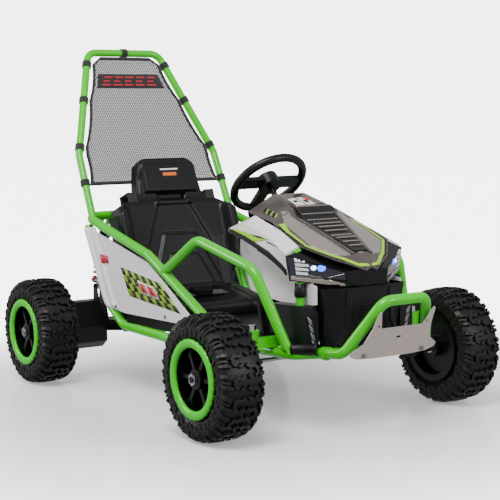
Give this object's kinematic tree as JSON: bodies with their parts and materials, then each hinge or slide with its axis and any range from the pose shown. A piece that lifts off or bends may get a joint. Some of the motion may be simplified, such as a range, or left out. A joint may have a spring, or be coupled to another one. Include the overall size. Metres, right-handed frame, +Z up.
{
  "type": "ride-on go kart",
  "caption": "Open-wheel ride-on kart with a tubular frame, bucket seat, mesh roof hoop, foot pedal, linked steering and a sprung rear swing arm.",
  "frame": {"origin": "on the ground under the middle of the kart's overall length", "axes": "+X forward, +Y to the rider's left, +Z up"},
  "size_m": [1.339, 0.848, 0.969],
  "materials": {
    "lime_paint": "gloss",
    "black_paint": "satin",
    "tyre_rubber": "matte",
    "rim_black": "satin",
    "ring_green": "gloss",
    "steel": "satin",
    "chrome": "polished",
    "plate_silver": "satin",
    "spring_red": "gloss",
    "panel_white": "gloss",
    "hood_grey": "gloss",
    "cover_black": "matte",
    "seat_black": "satin",
    "webbing_black": "woven",
    "mesh_grey": "open mesh",
    "lamp_glass": "clear",
    "lamp_black": "gloss",
    "casing_black": "satin",
    "button_red": "gloss",
    "battery_grey": "matte"
  },
  "bodies": {
    "chassis": {"battery": "battery_grey", "belt_buckle": "cover_black", "column_support": "black_paint", "cross_tubes": "lime_paint", "dash_panel": "cover_black", "fairings": "panel_white", "fascia": "cover_black", "fasteners": "steel", "floor_pan": "cover_black", "foot_boxes": "cover_black", "front_beam": "lime_paint", "front_bumper": "lime_paint", "harness": "webbing_black", "hip_hoops": "lime_paint", "hood": "hood_grey", "hood_posts": "lime_paint", "lamp_lenses": "lamp_glass", "lamp_shells": "lamp_black", "lower_rails": "lime_paint", "motor_controller": "casing_black", "net_panel": "mesh_grey", "net_straps": "webbing_black", "rear_crossbar": "lime_paint", "roof_hoop": "lime_paint", "seat_back": "seat_black", "seat_base": "seat_black", "side_panels": "panel_white", "side_tubes": "lime_paint", "skid_plate": "plate_silver", "vent_louvre": "cover_black"},
    "steering": {"steering_wheel": "cover_black", "column_shaft": "black_paint"},
    "pitman": {"pitman_shaft": "black_paint"},
    "tie_rod_right": {"tie_rod_right": "steel"},
    "tie_rod_left": {"tie_rod_left": "steel"},
    "knuckle_right": {"knuckle_right": "black_paint", "knuckle_bolts_right": "chrome"},
    "knuckle_left": {"knuckle_left": "black_paint", "knuckle_bolts_left": "chrome"},
    "rear_arm": {"swing_arm": "black_paint", "gear_cases": "casing_black", "rear_axle": "steel"},
    "shock_upper": {"shock_bodies": "black_paint", "shock_springs": "spring_red"},
    "shock_lower": {"shock_rods": "chrome"},
    "pedal": {"accelerator_pedal": "black_paint"},
    "start_button": {"start_button": "button_red"},
    "direction_switch": {"direction_switch": "cover_black"},
    "wheel_front_right": {"tyre_front_right": "tyre_rubber", "rim_front_right": "rim_black", "wheel_ring_front_right": "ring_green"},
    "wheel_front_left": {"tyre_front_left": "tyre_rubber", "rim_front_left": "rim_black", "wheel_ring_front_left": "ring_green"},
    "wheel_rear_right": {"tyre_rear_right": "tyre_rubber", "rim_rear_right": "rim_black", "wheel_ring_rear_right": "ring_green"},
    "wheel_rear_left": {"tyre_rear_left": "tyre_rubber", "rim_rear_left": "rim_black", "wheel_ring_rear_left": "ring_green"}
  },
  "joints": [
    {"name": "steering_turn", "type": "hinge", "parent": "chassis", "child": "steering", "pos_m": [0.1155, 0, 0.5776], "axis": [-0.682, 0, 0.7314], "range_deg": [-30, 30]},
    {"name": "pitman_turn", "type": "hinge", "parent": "chassis", "child": "pitman", "pos_m": [0.3945, 0, 0.2], "axis": [0, 0, 1], "range_deg": [-24, 24]},
    {"name": "tie_rod_right_turn", "type": "hinge", "parent": "pitman", "child": "tie_rod_right", "pos_m": [0.3345, -0.016, 0.159], "axis": [0, 0, 1], "range_deg": [-24, 24]},
    {"name": "tie_rod_left_turn", "type": "hinge", "parent": "pitman", "child": "tie_rod_left", "pos_m": [0.3345, 0.016, 0.159], "axis": [0, 0, 1], "range_deg": [-24, 24]},
    {"name": "knuckle_right_turn", "type": "hinge", "parent": "chassis", "child": "knuckle_right", "pos_m": [0.3945, -0.249, 0.2], "axis": [0, 0, 1], "range_deg": [-24, 24]},
    {"name": "knuckle_left_turn", "type": "hinge", "parent": "chassis", "child": "knuckle_left", "pos_m": [0.3945, 0.249, 0.2], "axis": [0, 0, 1], "range_deg": [-24, 24]},
    {"name": "rear_suspension", "type": "hinge", "parent": "chassis", "child": "rear_arm", "pos_m": [-0.2695, 0, 0.172], "axis": [0, 1, 0], "range_deg": [0, 5], "stiffness_Nm_per_rad": 300, "springref_deg": -14.32, "deforming": ["shock_springs"]},
    {"name": "shock_upper_swing", "type": "hinge", "parent": "chassis", "child": "shock_upper", "pos_m": [-0.4865, 0, 0.437], "axis": [0, 1, 0], "range_deg": [-3, 3]},
    {"name": "shock_lower_swing", "type": "hinge", "parent": "rear_arm", "child": "shock_lower", "pos_m": [-0.5295, 0, 0.262], "axis": [0, 1, 0], "range_deg": [-8, 8]},
    {"name": "pedal_press", "type": "hinge", "parent": "chassis", "child": "pedal", "pos_m": [0.3145, -0.131, 0.21389], "axis": [0, 1, 0], "range_deg": [0, 12], "stiffness_Nm_per_rad": 2.5, "springref_deg": -20.05},
    {"name": "button_press", "type": "slide", "parent": "chassis", "child": "start_button", "axis": [1, 0, 0], "range_m": [0, 0.003], "stiffness_N_per_m": 400, "springref_m": -0.004},
    {"name": "switch_rock", "type": "hinge", "parent": "chassis", "child": "direction_switch", "pos_m": [0.2047, -0.058, 0.512], "axis": [0, 1, 0], "range_deg": [-8, 8]},
    {"name": "wheel_front_right_spin", "type": "hinge", "parent": "knuckle_right", "child": "wheel_front_right", "pos_m": [0.3985, -0.364, 0.15], "axis": [0, 1, 0], "continuous": true},
    {"name": "wheel_front_left_spin", "type": "hinge", "parent": "knuckle_left", "child": "wheel_front_left", "pos_m": [0.3985, 0.364, 0.15], "axis": [0, 1, 0], "continuous": true},
    {"name": "wheel_rear_right_spin", "type": "hinge", "parent": "rear_arm", "child": "wheel_rear_right", "pos_m": [-0.5195, -0.364, 0.15], "axis": [0, 1, 0], "continuous": true},
    {"name": "wheel_rear_left_spin", "type": "hinge", "parent": "rear_arm", "child": "wheel_rear_left", "pos_m": [-0.5195, 0.364, 0.15], "axis": [0, 1, 0], "continuous": true}
  ],
  "couplings": [
    {"joint": "pitman_turn", "follows": "steering_turn", "ratio": 0.8},
    {"joint": "tie_rod_right_turn", "follows": "steering_turn", "ratio": -0.8},
    {"joint": "knuckle_right_turn", "follows": "steering_turn", "ratio": 0.8},
    {"joint": "tie_rod_left_turn", "follows": "steering_turn", "ratio": -0.8},
    {"joint": "knuckle_left_turn", "follows": "steering_turn", "ratio": 0.8},
    {"joint": "shock_upper_swing", "follows": "rear_suspension", "ratio": -0.2138},
    {"joint": "shock_lower_swing", "follows": "rear_suspension", "ratio": -1.2138}
  ]
}
